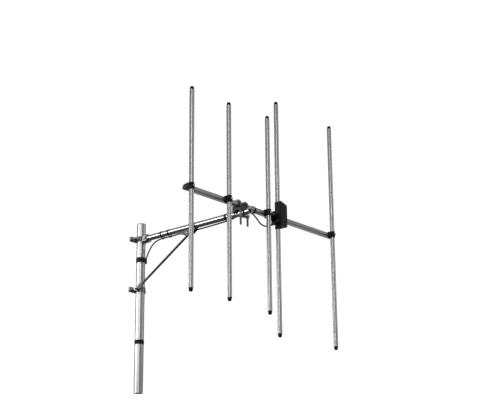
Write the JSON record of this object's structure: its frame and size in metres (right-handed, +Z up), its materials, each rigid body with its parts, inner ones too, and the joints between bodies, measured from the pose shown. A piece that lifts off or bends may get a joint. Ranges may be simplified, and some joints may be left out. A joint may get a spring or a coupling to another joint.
{
  "type": "yagi antenna",
  "caption": "Vertically polarised VHF yagi: dipole with feed box, reflector and directors on a boom, held by a braced side arm on a mast stub, coaxial feed down the mast.",
  "frame": {"origin": "centre of the mast tube's open lower end", "axes": "+Z up along the mast, +Y along the side arm from the mast to the boom, +X along the boom towards the directors, which is the direction of the beam"},
  "size_m": [0.911, 0.6479, 1.1875],
  "materials": {
    "galvanised": "dull hot-dip galvanised, faint mottling",
    "zinc_fastener": "bright zinc plate",
    "bare_aluminium": "drawn tube, satin",
    "brace_steel": "dull grey zinc, weathered",
    "cast_block": "cast aluminium, as cast",
    "saddle_lining": "dark grey coated sheet",
    "black_plastic": "moulded black, fine satin texture",
    "black_tape": "self-bonding black tape",
    "cable_jacket": "black sheath, slight sheen",
    "soft_seal": "moulded seal",
    "tinned_terminal": "machined, tinned",
    "circuit_board": "coated laminate",
    "ferrite": "sintered ferrite, dark grey",
    "nickel": "nickel plate"
  },
  "bodies": {
    "mast": {"mast_tube": "galvanised", "mast_top_plug": "black_plastic"},
    "side_arm": {"upper_mast_strap": "galvanised", "upper_back_bar": "galvanised", "lower_mast_strap": "galvanised", "lower_back_bar": "galvanised", "arm_socket": "galvanised", "brace_bracket": "galvanised", "mast_clamp_bolts": "zinc_fastener", "mast_clamp_nuts": "zinc_fastener", "mast_clamp_washers": "zinc_fastener", "arm_socket_bolt": "zinc_fastener", "brace_bracket_bolt": "zinc_fastener", "brace_pin_bolt": "zinc_fastener", "brace_foot_nut": "zinc_fastener", "hook_bolts": "zinc_fastener", "hook_bolt_nuts": "zinc_fastener", "arm_tube": "bare_aluminium", "brace_rod": "brace_steel", "crossover_block": "cast_block", "arm_saddle_plate": "cast_block", "boom_saddle": "saddle_lining", "arm_end_cap": "black_plastic", "arm_cable_ties": "black_plastic", "mast_tapes": "black_tape", "arm_cable_tape": "black_tape", "cable_arm": "cable_jacket", "cable_connector_boot": "cable_jacket", "cable_connector": "nickel"},
    "boom": {"boom_tube": "bare_aluminium", "boom_front_cap": "black_plastic", "boom_rear_cap": "black_plastic", "reflector": "bare_aluminium", "director_1": "bare_aluminium", "director_2": "bare_aluminium", "director_3": "bare_aluminium", "reflector_clamp": "black_plastic", "director_1_clamp": "black_plastic", "director_2_clamp": "black_plastic", "director_3_clamp": "black_plastic", "element_screws": "zinc_fastener", "element_screw_nuts": "zinc_fastener", "element_end_caps": "black_plastic", "dipole_housing": "black_plastic", "dipole_gasket": "soft_seal", "dipole_cover": "black_plastic", "dipole_cover_screws": "zinc_fastener", "dipole_back_clamp": "black_plastic", "dipole_clamp_screws": "zinc_fastener", "dipole_upper_rod": "bare_aluminium", "dipole_lower_rod": "bare_aluminium", "dipole_terminals": "tinned_terminal", "feed_board": "circuit_board", "feed_screws": "zinc_fastener", "balun_core": "ferrite", "cable_gland": "black_plastic", "gland_seal": "soft_seal", "cable_boom": "cable_jacket", "boom_cable_tie": "black_plastic"}
  },
  "joints": [
    {"name": "azimuth", "type": "hinge", "parent": "mast", "child": "side_arm", "pos_m": [0, 0, 0.654], "axis": [0, 0, 1], "range_deg": [-180, 180]},
    {"name": "polarisation", "type": "hinge", "parent": "side_arm", "child": "boom", "pos_m": [0, 0.566, 0.684], "axis": [1, 0, 0], "range_deg": [-90, 90]}
  ]
}
